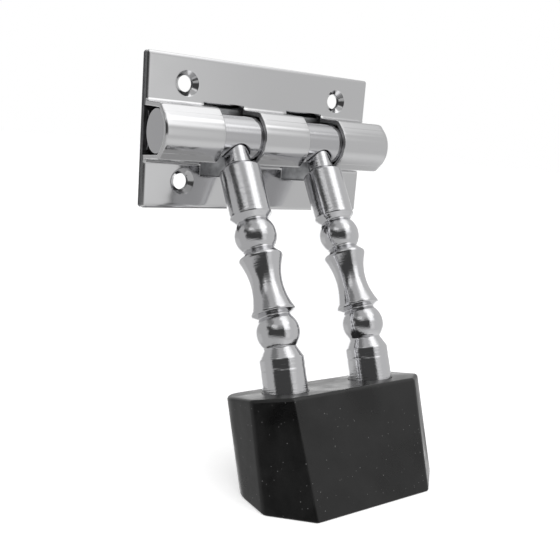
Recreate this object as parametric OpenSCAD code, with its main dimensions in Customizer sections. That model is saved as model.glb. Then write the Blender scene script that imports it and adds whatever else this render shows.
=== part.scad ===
// Twin-leg door stop: a wall plate with three rolled barrels, a spindle that turns in
// them, two turned legs, and a rubber shoe that both legs stand in.
// Origin: centre of the plate's back face. X along the spindle, +Y into the door, +Z up.
// Every piece is drawn with the legs kicked out, so that the shoe's sole is level.

/* [Plate] */
// Length of the plate along the spindle
plate_w = 91; // [88:0.5:100]
// Height of the plate
plate_h = 50; // [48:0.5:60]
// Radius of the plate's corners
plate_corner_r = 1; // [1:0.5:4]
// Thickness of the front sheet, which the barrels are pressed from
sheet_t = 1.6; // [1.2:0.1:1.8]
// Thickness of the flat backing sheet
back_t = 1.6; // [1.2:0.1:2]

/* [Screw holes] */
// Distance between hole centres along the plate
hole_span_x = 62; // [58:0.5:66]
// Distance between hole centres up the plate
hole_span_z = 32; // [31:0.5:34]
// Diameter of each screw hole
hole_d = 5.4; // [4.5:0.1:5.6]
// Diameter of the countersink at the front
sink_d = 8.4; // [7:0.1:8.6]

/* [Barrels] */
// Diameter of the spindle bar
bar_d = 14.2; // [13.6:0.1:14.4]
// Running clearance between spindle and barrel, on the radius
bar_fit = 0.08; // [0.04:0.02:0.1]
// How far the spindle axis stands in front of the front sheet
axis_out = 7.3; // [7.2:0.1:7.6]
// Half-angle of the round front of a barrel
roll_angle = 46; // [40:1:50]
// Half-height of a barrel at its corners
shoulder_z = 8.8; // [8.8:0.1:9]
// Half-height of a barrel where it meets the sheet
root_z = 9.4; // [9.2:0.1:9.8]
// Width of each leg slot between two barrels
slot_w = 15.2; // [15:0.1:16]
// Distance from the middle of the plate to the middle of a slot
slot_x = 16.8; // [16.6:0.1:17]
// How far each slot's window reaches above the spindle axis
window_up = 10.5; // [10:0.5:11]
// How far each slot's window reaches below the spindle axis
window_down = 13.7; // [13:0.1:15]

/* [Spindle] */
// How far each end of the spindle sits inside the plate's ends
end_inset = 0.5; // [0:0.1:2]
// Edge chamfer of the spindle's ends
end_chamfer = 0.5; // [0.2:0.1:1]

/* [Legs] */
// Distance from the middle of the plate to each leg
leg_x = 17.2; // [17:0.1:17.2]
// Angle between the legs and straight down, with the stop in use
leg_tilt = 31.4; // [29:0.2:33]
// How far the foot of each leg is bent back towards upright, below its second bead
foot_bend = 10; // [8:0.5:12]
// Radius of the spigot that is fixed in the spindle
spigot_r = 4.3; // [4:0.1:4.4]
// Radius of the smooth upper collar
collar_r = 6.9; // [6.5:0.1:6.9]
// Radius of the two round beads
bead_r = 7; // [6.6:0.1:7.1]
// Radius of the necks on each side of a bead
neck_r = 5.2; // [4.8:0.1:5.6]
// Radius of the waisted part's two rims
rim_r = 7.2; // [6.8:0.1:7.4]
// Radius of the lower collar, which stands in the shoe
foot_r = 7.1; // [6.8:0.1:7.3]

/* [Shoe] */
// Width of the shoe along the spindle
shoe_w = 67; // [64:1:74]
// Depth of the shoe from front face to back face
shoe_d = 27.5; // [27:0.5:29]
// How far the sole is below the spindle axis
sole_drop = 104.5; // [104:0.1:107]
// Angle between the shoe's front face and upright
shoe_rake = 22.8; // [21:0.2:25]
// Angle between the shoe's top face and level
shoe_top_tilt = 14.8; // [12:0.2:18]
// Width of the front corner chamfers along the spindle, at the top
shoe_chamfer_x = 9.5; // [8:0.1:11]
// Depth of the front corner chamfers
shoe_chamfer_y = 8; // [7:0.1:9]
// How much wider the front chamfers are at the sole than at the top
shoe_chamfer_spread = 2; // [0:0.1:2.5]
// Radius of the shoe's back corners
shoe_back_r = 8.3; // [6:0.1:9]

/* [Shoe fixings] */
// Thread diameter of the screws that hold the shoe on
shoe_screw_d = 5; // [4:0.5:5.5]
// Head diameter of those screws
shoe_head_d = 9; // [8:0.5:9.5]
// Outside diameter of their washers
washer_d = 12; // [11:0.5:12]

/* [Hidden] */
$fn = 96;
slack = 1;
wide = 200;
chrome = [0.78, 0.78, 0.80];
zinc = [0.62, 0.64, 0.66];
spring_steel = [0.45, 0.45, 0.48];
rubber = [0.07, 0.07, 0.07];

// Plate and barrels
front_y = -back_t - sheet_t;
axis_y = front_y - axis_out;
bar_r = bar_d / 2;
bore_r = bar_r + bar_fit;
roll_r = bore_r + sheet_t;
crease_in = 0.04;
roll_edge = (roll_r - crease_in) * [-cos(roll_angle), sin(roll_angle)];
shoulder_y = roll_edge[0] + (shoulder_z - roll_edge[1]) * tan(roll_angle);
bore_edge = (bore_r - crease_in) * [-cos(roll_angle), sin(roll_angle)];
bore_shoulder_z = shoulder_z - sheet_t;
bore_shoulder_y = bore_edge[0] + (bore_shoulder_z - bore_edge[1]) * tan(roll_angle);
root_fillet = 1.2;
barrel_end_w = plate_w / 2 - slot_x - slot_w / 2;

// Leaf springs
leaf_t = 0.5;
leaf_half_h = 6.4;
leaf_gap = 0.12;
leaf_length = 18;
leaf_x = plate_w / 2 - barrel_end_w / 2;
leaf_crown_y = axis_y + bar_r + leaf_gap;
leaf_rise = -back_t - leaf_crown_y - leaf_t;
leaf_r = (leaf_half_h * leaf_half_h + leaf_rise * leaf_rise) / (2 * leaf_rise) + leaf_t / 2;

// Stations down a leg, measured from the spindle axis
spigot_end = -4;
shoulder_at = 11;
collar_top = 12.6;
collar_end = 29.3;
collar_lip = 0.12;
bead_1_at = 36;
bead_2_at = 68.2;
rim_1_at = 44.1;
rim_2_at = 61.4;
rim_land = 0.7;
neck_half_w = 0.35;
bead_reach = sqrt(bead_r * bead_r - neck_r * neck_r);
bead_core = 2;
waist_steps = 20;

// Stations down a foot, measured from the middle of the second bead
foot_top = 8;
foot_line_at = 11.2;
foot_line_half_w = 0.3;
foot_line_depth = 0.12;
foot_end = 35;

// Shoe, in a frame whose Z runs along its raked front face
shoe_at = 18.2;
shoe_front = -13.7;
shoe_back = shoe_front + shoe_d;
shoe_front_h = 35;
chamfer_angle = atan(shoe_chamfer_y / shoe_chamfer_x);
chamfer_spread_tilt = atan(shoe_chamfer_spread * sin(chamfer_angle) / shoe_front_h);
ledge_t = 4;
pocket_fit = 0.05;
recess_r = washer_d / 2 + 0.5;
washer_t = 1.2;
head_h = 3;
drive_af = 3;
drive_depth = 1.8;
screw_grip = 12;
screw_hole_fit = 0.25;
tip = 1;

// Points of an arc about a centre, from one angle to another
function arc(centre, r, from, to, steps) =
    [for (i = [0:steps]) let (a = from + (to - from) * i / steps) centre + r * [cos(a), sin(a)]];

// Moves its children from a leg's own frame, Z up along the leg, to its place at rest
module on_leg(side) {
    translate([side * leg_x, axis_y, 0])
        rotate([-leg_tilt, 0, 0])
            children();
}

// Moves its children from a foot's own frame, Z up along the foot, to its place at rest
module on_foot(side) {
    on_leg(side)
        translate([0, 0, -bead_2_at])
            rotate([foot_bend, 0, 0])
                children();
}

// A bar along X through the spindle axis
module bar_along_x(r, length) {
    translate([0, axis_y, 0])
        rotate([0, 90, 0])
            cylinder(r = r, h = length, center = true);
}

// A prism along X whose section is given as [y, z] points about the spindle axis
module prism_along_x(section, length) {
    translate([-length / 2, axis_y, 0])
        rotate([90, 0, 90])
            linear_extrude(length)
                polygon(section);
}

// Flat sheet of the plate's outline, from one Y to another
module sheet(y_front, y_back) {
    translate([0, y_back, 0])
        rotate([90, 0, 0])
            linear_extrude(y_back - y_front)
                union() {
                    square([plate_w - 2 * plate_corner_r, plate_h], center = true);
                    square([plate_w, plate_h - 2 * plate_corner_r], center = true);
                    for (x = [-1, 1], z = [-1, 1])
                        translate([x * (plate_w / 2 - plate_corner_r), z * (plate_h / 2 - plate_corner_r)])
                            circle(r = plate_corner_r);
                }
}

module screw_holes() {
    for (x = [-1, 1], z = [-1, 1])
        translate([x * hole_span_x / 2, slack, z * hole_span_z / 2])
            rotate([90, 0, 0])
                cylinder(d = hole_d, h = back_t + sheet_t + 2 * slack);
}

module countersinks() {
    sink_depth = (sink_d - hole_d) / 2;
    for (x = [-1, 1], z = [-1, 1])
        translate([x * hole_span_x / 2, front_y + sink_depth, z * hole_span_z / 2])
            rotate([90, 0, 0])
                cylinder(d1 = hole_d, d2 = sink_d + 2 * slack, h = sink_depth + slack);
}

// Outside of the pressed channel: round front, flat shoulders, straight walls, and a small
// fillet at the sheet. Each shoulder lies just inside the round, so the two meet at a crease.
module channel_outside(length) {
    fillet_centre = [axis_out - root_fillet, root_z + root_fillet];
    upper = concat(
        [roll_edge, [shoulder_y, shoulder_z], [fillet_centre[0], root_z]],
        arc(fillet_centre, root_fillet, -90, 0, 5)
    );
    lower = [for (i = [len(upper) - 1:-1:0]) [upper[i][0], -upper[i][1]]];
    prism_along_x(concat(upper, lower), length);
    bar_along_x(roll_r, length);
}

module channel_inside(length) {
    back = axis_out + sheet_t + slack;
    upper = [bore_edge, [bore_shoulder_y, bore_shoulder_z], [back, root_z - sheet_t]];
    lower = [for (i = [len(upper) - 1:-1:0]) [upper[i][0], -upper[i][1]]];
    prism_along_x(concat(upper, lower), length);
    bar_along_x(bore_r, length);
}

module leg_slots() {
    for (side = [-1, 1])
        translate([side * slot_x - slot_w / 2, -wide, -window_down])
            cube([slot_w, wide - back_t, window_down + window_up]);
}

module front_plate() {
    color(chrome)
        difference() {
            union() {
                sheet(front_y, -back_t);
                channel_outside(plate_w);
            }
            channel_inside(plate_w + 2 * slack);
            leg_slots();
            screw_holes();
            countersinks();
        }
}

module back_plate() {
    color(zinc)
        difference() {
            sheet(-back_t, 0);
            screw_holes();
        }
}

// A strip bowed towards the spindle, with its long edges on the backing sheet
module leaf_spring(side) {
    color(spring_steel)
        intersection() {
            translate([side * leaf_x, leaf_crown_y + leaf_r, 0])
                rotate([0, 90, 0])
                    difference() {
                        cylinder(r = leaf_r, h = leaf_length, center = true);
                        cylinder(r = leaf_r - leaf_t, h = leaf_length + 2 * slack, center = true);
                    }
            translate([-wide / 2, -back_t - wide, -leaf_half_h])
                cube([wide, wide, 2 * leaf_half_h]);
        }
}

module spindle() {
    length = plate_w - 2 * end_inset;
    color(chrome)
        difference() {
            translate([-length / 2, axis_y, 0])
                rotate([0, 90, 0])
                    rotate_extrude()
                        polygon([
                            [0, 0], [bar_r - end_chamfer, 0], [bar_r, end_chamfer],
                            [bar_r, length - end_chamfer], [bar_r - end_chamfer, length], [0, length]
                        ]);
            for (side = [-1, 1])
                on_leg(side)
                    translate([0, 0, -bar_r - slack])
                        cylinder(r = spigot_r + pocket_fit, h = bar_r + slack - spigot_end + tip);
        }
}

// Points of the waisted part between its two rims, as [radius, station]: a parabola
waist_section =
    [for (i = [0:waist_steps])
        let (u = 2 * i / waist_steps - 1)
            [neck_r + (rim_r - neck_r) * u * u, (rim_1_at + rim_2_at) / 2 + u * (rim_2_at - rim_1_at) / 2]];

// Half-section of a leg down to the middle of its second bead, as [radius, station]
leg_section = concat(
    [
        [0, spigot_end], [spigot_r, spigot_end], [spigot_r, shoulder_at], [collar_r, collar_top],
        [collar_r, collar_end - 1], [collar_r + collar_lip, collar_end],
        [neck_r + 0.2, bead_1_at - bead_reach - neck_half_w],
        [neck_r, bead_1_at + bead_reach + neck_half_w], [rim_r, rim_1_at - rim_land]
    ],
    waist_section,
    [
        [rim_r, rim_2_at + rim_land], [neck_r, bead_2_at - bead_reach - neck_half_w],
        [neck_r, bead_2_at + bead_core], [0, bead_2_at + bead_core]
    ]
);

// Half-section of a foot, from the middle of the second bead down
foot_section = [
    [0, -bead_core], [neck_r, -bead_core], [neck_r + 0.2, bead_reach + neck_half_w],
    [foot_r, foot_top], [foot_r, foot_line_at - foot_line_half_w],
    [foot_r - foot_line_depth, foot_line_at], [foot_r, foot_line_at + foot_line_half_w],
    [foot_r, foot_end], [0, foot_end]
];

module leg(side) {
    color(chrome)
        difference() {
            union() {
                on_leg(side)
                    mirror([0, 0, 1])
                        rotate_extrude()
                            polygon(leg_section);
                for (at = [bead_1_at, bead_2_at])
                    on_leg(side)
                        translate([0, 0, -at])
                            sphere(r = bead_r);
                on_foot(side)
                    mirror([0, 0, 1])
                        rotate_extrude()
                            polygon(foot_section);
            }
            on_foot(side)
                translate([0, 0, -foot_end - slack])
                    cylinder(d = shoe_screw_d + 2 * pocket_fit, h = screw_grip + tip + slack);
        }
}

// Moves its children to the middle of the shoe's top face, tilted about X by an angle
module at_shoe(tilt) {
    foot_tilt = leg_tilt - foot_bend;
    translate([
        0,
        axis_y - bead_2_at * sin(leg_tilt) - shoe_at * sin(foot_tilt),
        -bead_2_at * cos(leg_tilt) - shoe_at * cos(foot_tilt)
    ])
        rotate([-tilt, 0, 0])
            children();
}

module shoe_outline() {
    side_x = shoe_w / 2;
    translate([-side_x, shoe_front])
        square([shoe_w, shoe_d - shoe_back_r]);
    translate([-side_x + shoe_back_r, shoe_front])
        square([shoe_w - 2 * shoe_back_r, shoe_d]);
    for (side = [-1, 1])
        translate([side * (side_x - shoe_back_r), shoe_back - shoe_back_r])
            circle(r = shoe_back_r);
}

// Cuts one front corner, more at the sole than at the top
module shoe_corner_cut(side) {
    translate([side * (shoe_w / 2 - shoe_chamfer_x), shoe_front, 0])
        rotate([0, 0, side * chamfer_angle])
            rotate([chamfer_spread_tilt, 0, 0])
                translate([-wide / 2, -wide, -wide / 2])
                    cube([wide, wide, wide]);
}

module shoe_fixing_holes(side) {
    on_foot(side) {
        translate([0, 0, -foot_end])
            cylinder(r = foot_r + pocket_fit, h = foot_end);
        translate([0, 0, -foot_end - ledge_t - slack])
            cylinder(d = shoe_screw_d + 2 * screw_hole_fit, h = ledge_t + 2 * slack);
        translate([0, 0, -wide])
            cylinder(r = recess_r, h = wide - foot_end - ledge_t);
    }
}

module rubber_shoe() {
    color(rubber)
        difference() {
            at_shoe(shoe_rake)
                translate([0, 0, -wide / 4])
                    linear_extrude(wide / 2)
                        shoe_outline();
            for (side = [-1, 1])
                at_shoe(shoe_rake)
                    shoe_corner_cut(side);
            at_shoe(shoe_top_tilt)
                translate([-wide / 2, -wide / 2, 0])
                    cube([wide, wide, wide]);
            translate([-wide / 2, -wide, -sole_drop - wide])
                cube([wide, 2 * wide, wide]);
            for (side = [-1, 1])
                shoe_fixing_holes(side);
        }
}

module shoe_screws() {
    head_at = foot_end + ledge_t + washer_t;
    color(zinc)
        for (side = [-1, 1])
            on_foot(side)
                mirror([0, 0, 1])
                    difference() {
                        union() {
                            translate([0, 0, foot_end - screw_grip])
                                cylinder(d = shoe_screw_d, h = head_at - foot_end + screw_grip + slack);
                            translate([0, 0, head_at])
                                cylinder(d = shoe_head_d, h = head_h);
                        }
                        translate([0, 0, head_at + head_h - drive_depth])
                            cylinder(d = drive_af / cos(30), h = drive_depth + slack, $fn = 6);
                    }
}

module shoe_washers() {
    color(zinc)
        for (side = [-1, 1])
            on_foot(side)
                translate([0, 0, -foot_end - ledge_t - washer_t])
                    difference() {
                        cylinder(d = washer_d, h = washer_t);
                        translate([0, 0, -slack])
                            cylinder(d = shoe_screw_d + 2 * screw_hole_fit, h = washer_t + 2 * slack);
                    }
}

front_plate();
back_plate();
leaf_spring(-1);  // left_leaf_spring
leaf_spring(1);  // right_leaf_spring
spindle();
leg(-1);  // left_leg
leg(1);  // right_leg
rubber_shoe();
shoe_screws();
shoe_washers();
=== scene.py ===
# %% [markdown]
# # A twin-leg door stop: pressed plate, turned legs, rubber shoe
#
# This is a kick-down door stop. A wall plate has three barrels pressed out of its sheet.
# A round bar turns in the barrels and carries two turned legs, and both legs stand in one
# block of black rubber. Nearly all of it is bright metal, so the picture is made by two
# things: the exact roundness of every edge, and what there is in the room to reflect.
# The lesson starts from the measured model, builds each piece again with soft edges, gives
# each its own finish, and ends with a small studio.

import math

import bmesh
import bpy
import numpy as np
from mathutils import Matrix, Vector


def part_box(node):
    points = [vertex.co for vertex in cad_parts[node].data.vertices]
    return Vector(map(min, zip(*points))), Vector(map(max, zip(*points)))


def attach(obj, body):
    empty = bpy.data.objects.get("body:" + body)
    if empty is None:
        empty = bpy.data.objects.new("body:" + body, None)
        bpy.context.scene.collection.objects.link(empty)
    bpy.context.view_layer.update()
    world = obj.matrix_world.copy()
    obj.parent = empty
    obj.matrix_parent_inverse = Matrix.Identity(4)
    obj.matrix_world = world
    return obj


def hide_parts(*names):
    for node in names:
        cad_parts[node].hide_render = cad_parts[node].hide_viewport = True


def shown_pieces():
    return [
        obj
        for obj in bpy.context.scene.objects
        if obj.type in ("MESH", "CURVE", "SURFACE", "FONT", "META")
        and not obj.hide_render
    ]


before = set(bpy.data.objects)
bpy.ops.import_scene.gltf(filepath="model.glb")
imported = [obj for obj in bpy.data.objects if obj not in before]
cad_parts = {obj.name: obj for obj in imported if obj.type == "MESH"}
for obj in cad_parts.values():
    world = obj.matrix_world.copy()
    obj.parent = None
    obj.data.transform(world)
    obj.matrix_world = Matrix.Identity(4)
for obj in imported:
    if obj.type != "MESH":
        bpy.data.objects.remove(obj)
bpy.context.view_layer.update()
MM = 0.001
print("pieces of the measured model:", ", ".join(sorted(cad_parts)))


# %% [markdown]
# ## Sizes
#
# Every piece is worked out in millimetres and scaled to metres once, when its mesh is made.
# Where a piece is comes from the measured model's own boxes. The sizes that a box can't tell,
# such as a hole or a bend, are written here by the names a maker would use.


# %% Places read from the measured model
def box_mm(node):
    """Lowest and highest corner of a node of the measured model, in millimetres."""
    low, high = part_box(node)
    return np.array(low) / MM, np.array(high) / MM


_, plate_high = box_mm("front_plate")
bar_low, bar_high = box_mm("spindle")
sheet_low, _ = box_mm("back_plate")
leg_low, leg_high = box_mm("left_leg")
shoe_low, shoe_high = box_mm("rubber_shoe")
half_plate = plate_high[0]
half_height = plate_high[2]
back_t = -sheet_low[1]
front_y = -3.2
bar_r = (bar_high[2] - bar_low[2]) / 2
axis_y = (bar_high[1] + bar_low[1]) / 2
bar_half = bar_high[0]
leg_x = -(leg_low[0] + leg_high[0]) / 2
shoe_side = shoe_high[0]
sole_z = shoe_low[2]
print(f"plate {2 * half_plate:.1f} x {2 * half_height:.1f} mm, bar {2 * bar_r:.1f} mm")
print(f"sole at {sole_z:.1f} mm")

# %% Sizes of bends, holes and turned parts, in millimetres
sheet_t = 1.6
hole_x, hole_z, hole_r, sink_r = 31.0, 16.0, 2.7, 4.2
corner_r, crown_w, crown_drop = 1.0, 1.6, 0.3
slot_x, slot_half, slot_foot = 16.8, 7.6, -13.7
roll_angle = math.radians(46)
bore_r = bar_r + 0.08
leg_tilt, foot_tilt = math.radians(31.4), math.radians(21.4)
bead_1, bead_2, bead_r = 36.0, 68.2, 7.0
spigot_r, collar_r, neck_r, rim_r, foot_r = 4.3, 6.9, 5.2, 7.2, 7.1
shoe_at, foot_end = 18.2, 35.0


# %% [markdown]
# ## Helpers
#
# A surface here is a grid of points: one parameter runs along the rows, the other along the
# columns. A piece is several such patches that share their borders. Welding makes points
# that lie together into one, so the piece is closed, and a last pass turns every face
# outwards. A column of points that all meet in one place, such as the middle of a disc, then
# gives triangles in place of four-sided faces.


# %% Patches into one closed mesh
def weld(patches):
    """Grids of points, or stacks of grids, joined into one list of points, one of quads and
    one of triangles. Points that agree to a ten-thousandth of a millimetre become one. A quad
    that has lost a side to this becomes a triangle, and one that has lost two is left out."""
    quads, start = [], 0
    for grid in patches:
        index = np.arange(grid[..., 0].size).reshape(-1, *grid.shape[-3:-1]) + start
        corners = [index[:, :-1, :-1], index[:, 1:, :-1], index[:, 1:, 1:], index[:, :-1, 1:]]
        quads.append(np.stack(corners, -1).reshape(-1, 4))
        start += index.size
    points = np.concatenate([grid.reshape(-1, grid.shape[-1]) for grid in patches])
    key = np.round(points[:, :3] * 1e4).astype(np.int64)
    _, first, back = np.unique(key, axis=0, return_index=True, return_inverse=True)
    quads = back.reshape(-1)[np.concatenate(quads)]
    repeat = quads == np.roll(quads, 1, axis=1)
    lost = repeat.sum(1)
    triangles = quads[lost == 1][~repeat[lost == 1]].reshape(-1, 3)
    return points[first], quads[lost == 0], triangles


def make_piece(name, patches, body, nodes, extra=()):
    """A mesh object from patches in millimetres. Columns after the third are stored on the
    points as attributes named in extra. It rides on a body and stands for measured nodes."""
    points, quads, triangles = weld(patches)
    mesh = bpy.data.meshes.new(name)
    mesh.from_pydata(points[:, :3] * MM, [], quads.tolist() + triangles.tolist())
    for column, attribute in enumerate(extra, start=3):
        layer = mesh.attributes.new(attribute, "FLOAT", "POINT")
        layer.data.foreach_set("value", points[:, column].astype(np.float32))
    shell = bmesh.new()
    shell.from_mesh(mesh)
    bmesh.ops.recalc_face_normals(shell, faces=shell.faces)
    shell.to_mesh(mesh)
    open_edges = sum(not edge.is_manifold for edge in shell.edges)
    shell.free()
    mesh.polygons.foreach_set("use_smooth", np.ones(len(mesh.polygons), bool))
    piece = bpy.data.objects.new(name, mesh)
    bpy.context.scene.collection.objects.link(piece)
    even = piece.modifiers.new("even_shading", "WEIGHTED_NORMAL")
    even.keep_sharp = True
    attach(piece, body)
    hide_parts(*nodes)
    counts = f"{len(points)} points, {len(quads)} quads, {len(triangles)} triangles"
    print(f"{name}: {counts}, {open_edges} open edges")


# %% [markdown]
# Most outlines in this object are straight lines joined by bends. One function rounds the
# corners of such a chain. It is used for the pressed barrels, the countersunk holes, the
# outline of the shoe and the section of the washers.


# %% A chain of lines with rounded corners
def rounded_path(corners, radii, steps):
    """A chain of straight lines with an arc at each inner corner. An arc's centre lies on
    the line that halves the corner, radius / sin(half the corner's angle) away from it, and
    the arc runs between the two points where it touches the lines."""
    corners, radii = np.asarray(corners, float), np.asarray(radii, float)
    before, after = corners[:-2] - corners[1:-1], corners[2:] - corners[1:-1]
    before /= np.linalg.norm(before, axis=1, keepdims=True)
    after /= np.linalg.norm(after, axis=1, keepdims=True)
    half = 0.5 * np.arccos(np.clip((before * after).sum(1), -1, 1))
    middle = before + after
    middle /= np.linalg.norm(middle, axis=1, keepdims=True)
    centres = corners[1:-1] + middle * (radii / np.sin(half))[:, None]
    reach = (radii / np.tan(half))[:, None]
    start = corners[1:-1] + before * reach - centres
    end = corners[1:-1] + after * reach - centres
    sweep = (math.pi - 2 * half)[:, None, None]
    share = np.linspace(0, 1, steps + 1)[None, :, None]
    arcs = centres[:, None] + (
        np.sin((1 - share) * sweep) * start[:, None] + np.sin(share * sweep) * end[:, None]
    ) / np.sin(sweep)
    return np.concatenate([corners[:1], arcs.reshape(-1, 2), corners[-1:]])


def eased(start, end, steps):
    """Positions from start to end that crowd together towards the end: share x (2 - share)."""
    share = np.linspace(0, 1, steps + 1)
    return start + (end - start) * share * (2 - share)


# %% [markdown]
# ## Sheet metal
#
# The plate, its backing sheet and the leaf springs are sheet metal with punched holes. Each
# is drawn flat first, as a grid with its holes left out. Then every open edge gets a rim with
# a small radius, because a dead sharp edge never catches the light and a real one always
# does. Last, the flat drawing is laid into space, straight or through the bends. A round
# hole is a patch that runs from a square of the grid to a circle.


# %% Drawing a sheet flat
EDGE = 0.4


def grid_patch(us, ws):
    """A flat rectangular patch: every u with every w."""
    return np.stack(np.meshgrid(us, ws, indexing="ij"), -1)


def round_hole(us, ws, radius, rows):
    """A patch between a circle and the border of a rectangle round it. Each point of the
    circle lies in the direction of its point on the border, and the rows between blend from
    one to the other."""
    border = np.concatenate([
        np.stack([us, np.full(len(us), ws[0])], -1),
        np.stack([np.full(len(ws), us[-1]), ws], -1)[1:],
        np.stack([us[::-1], np.full(len(us), ws[-1])], -1)[1:],
        np.stack([np.full(len(ws), us[0]), ws[::-1]], -1)[1:],
    ])
    centre = np.array([us[0] + us[-1], ws[0] + ws[-1]]) / 2
    away = border - centre
    circle = centre + radius * away / np.linalg.norm(away, axis=1, keepdims=True)
    share = np.linspace(0, 1, rows + 1)[:, None, None]
    return (1 - share) * circle + share * border


def round_corner(us, ws):
    """A corner block of a sheet. A point's larger distance from the block's inner corner
    becomes its radius, and its place along the L-shaped row at that distance becomes its
    angle, so straight L-shaped rows turn into quarter circles."""
    inner_u, outer_u = sorted((us[0], us[-1]), key=abs)
    inner_w, outer_w = sorted((ws[0], ws[-1]), key=abs)
    across_u, across_w = (us - inner_u) / (outer_u - inner_u), (ws - inner_w) / (outer_w - inner_w)
    a, b = np.meshgrid(across_u, across_w, indexing="ij")
    level = np.maximum(a, b)
    turn = math.pi / 4 * np.minimum(a, b) / np.maximum(level, 1e-9)
    turn = np.where(a >= b, turn, math.pi / 2 - turn)
    return np.stack([
        inner_u + (outer_u - inner_u) * level * np.cos(turn),
        inner_w + (outer_w - inner_w) * level * np.sin(turn),
    ], -1)


# %% Giving a flat drawing its thickness and its rims
def plain_rim(half_t):
    """Section of a plain edge as (outwards, height): quarter circle, wall, quarter circle. On a
    thin strip the circles are flattened, so that they don't meet."""
    turn = np.linspace(0, math.pi / 2, 5)
    upper = np.stack([EDGE * np.sin(turn), half_t - min(EDGE, 0.9 * half_t) * (1 - np.cos(turn))], -1)
    return np.concatenate([upper, [[EDGE, 0]], upper[::-1] * [1, -1]])


def countersunk_rim(half_t):
    """Section of a countersunk hole: over the face's edge, down a cone to the throat, and
    back along the far face. It has as many points as a plain rim, so the two can be mixed."""
    throat, cone_end = EDGE + sink_r - hole_r, half_t - sink_r + hole_r
    corners = [(0, half_t), (EDGE, half_t), (throat, cone_end), (throat, -half_t), (0, -half_t)]
    bends = [0.25, 0.06, 0.04]
    return rounded_path(corners, bends, 2)


def sheet_patches(drawing, half_t, place, sections):
    """The patches of a sheet. The flat drawing is laid on both faces, and each of its open
    edges is carried along its own section. A border point moves outwards along the line that
    halves the corner there, far enough to stay parallel to both edges."""
    flat, quads, _ = weld([np.concatenate([p, np.zeros((*p.shape[:2], 1))], -1) for p in drawing])
    one, two = quads.reshape(-1), np.roll(quads, -1, axis=1).reshape(-1)
    is_open = ~np.isin(one * len(flat) + two, two * len(flat) + one)
    one, two = one[is_open], two[is_open]
    along = flat[two, :2] - flat[one, :2]
    along /= np.linalg.norm(along, axis=1, keepdims=True)
    outward = np.zeros((len(flat), 2))
    np.add.at(outward, one, along[:, ::-1] * [1, -1])
    np.add.at(outward, two, along[:, ::-1] * [1, -1])
    outward /= np.maximum((outward**2).sum(1, keepdims=True) / 2, 1e-9)
    ends = np.stack([one, two], 1)
    section = sections(flat[ends, :2])
    spot = flat[ends, None, :2] + outward[ends, None] * section[..., :1]
    rims = place(spot[..., 0], spot[..., 1], section[..., 1])
    faces = [place(p[..., 0], p[..., 1], np.full(p.shape[:2], h)) for p in drawing for h in (half_t, -half_t)]
    return faces + [rims]


# %% [markdown]
# ## The front plate
#
# The real plate is one strip of steel. Three barrels are pressed out of it, and two slots let
# the legs through. Its section is a chain of lines with five bends: a root fillet, a
# shoulder, the round front, a shoulder and a root fillet. Outside and inside have the same
# bends with different radii, so a place on the flat drawing can be found on both, and the
# sheet is what lies between.

# %% Section of the pressed channel
BEND_STEPS = 12


def channel_section(apex_r, shoulder_z, shoulder_bend, wall_z, wall_y, root_bend, mark_depth):
    """Rounded section from above the channel to below it: the round front is the arc that
    touches both shoulder lines, and the shoulders meet the walls at their own bends. Just
    behind the arc the press leaves a mark, a shallow V of the given depth."""
    apex_y = axis_y - apex_r / math.cos(roll_angle)
    shoulder_y = apex_y + shoulder_z * math.tan(roll_angle)
    slope = np.array([math.sin(roll_angle), math.cos(roll_angle)])
    into = np.array([math.cos(roll_angle), -math.sin(roll_angle)])
    touch = np.array([axis_y - apex_r * math.cos(roll_angle), apex_r * math.sin(roll_angle)])
    far_z = 14
    mark = [touch + 0.4 * slope, touch + 0.25 * slope + mark_depth * into, touch + 0.1 * slope]
    upper = [(wall_y, far_z), (wall_y, wall_z), (shoulder_y, shoulder_z), *mark]
    lower = [(y, -z) for y, z in reversed(upper)]
    bends = [root_bend, shoulder_bend, 0.1, 0.05, 0.1]
    return rounded_path(upper + [(apex_y, 0)] + lower, bends + [apex_r] + bends[::-1], BEND_STEPS)[1:-1]


outside = channel_section(
    bore_r + sheet_t, shoulder_z=8.8, shoulder_bend=2.4, wall_z=9.475, wall_y=front_y,
    root_bend=1.2, mark_depth=0.06,
)
inside = channel_section(
    bore_r, shoulder_z=7.2, shoulder_bend=0.8, wall_z=7.85, wall_y=front_y + sheet_t,
    root_bend=1.0, mark_depth=0.01,
)
bends_end, flat_start, past_plate = 10.5, 10.9, 30
bend_w = np.linspace(bends_end, -bends_end, len(outside))
knots = np.concatenate([[-past_plate, -flat_start], bend_w[::-1], [flat_start, past_plate]])


def along_sheet(section, flat_y):
    """Y and Z of a section at each knot: flat beyond the bends, where W is simply Z."""
    flat = np.array([[flat_y, -past_plate], [flat_y, -flat_start]])
    return np.concatenate([flat, section[::-1], flat[::-1] * [1, -1]])


front_line, rear_line = along_sheet(outside, front_y), along_sheet(inside, front_y + sheet_t)


def crown(u, w):
    """How far buffing has rounded the front face off near the plate's border: a parabola over
    the last stretch before it, from the distance to the plate's rounded outline."""
    past_u, past_w = np.abs(u) - half_plate + corner_r, np.abs(w) - half_height + corner_r
    beyond = np.hypot(np.maximum(past_u, 0), np.maximum(past_w, 0))
    to_border = corner_r - np.where(beyond > 0, beyond, np.maximum(past_u, past_w))
    return crown_drop * np.maximum(1 - to_border / crown_w, 0) ** 2


def place_on_plate(u, w, h):
    """X is u. Y and Z lie between the rear and the front line at w, by the height h, which is
    lowered by the crown in the front half of the sheet."""
    share = (h - crown(u, w) * np.maximum(h, 0) / (sheet_t / 2)) / sheet_t + 0.5
    y, z = (
        (1 - share) * np.interp(w, knots, rear_line[:, i]) + share * np.interp(w, knots, front_line[:, i])
        for i in (0, 1)
    )
    return np.stack([u + 0 * y, y, z], -1)


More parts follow.
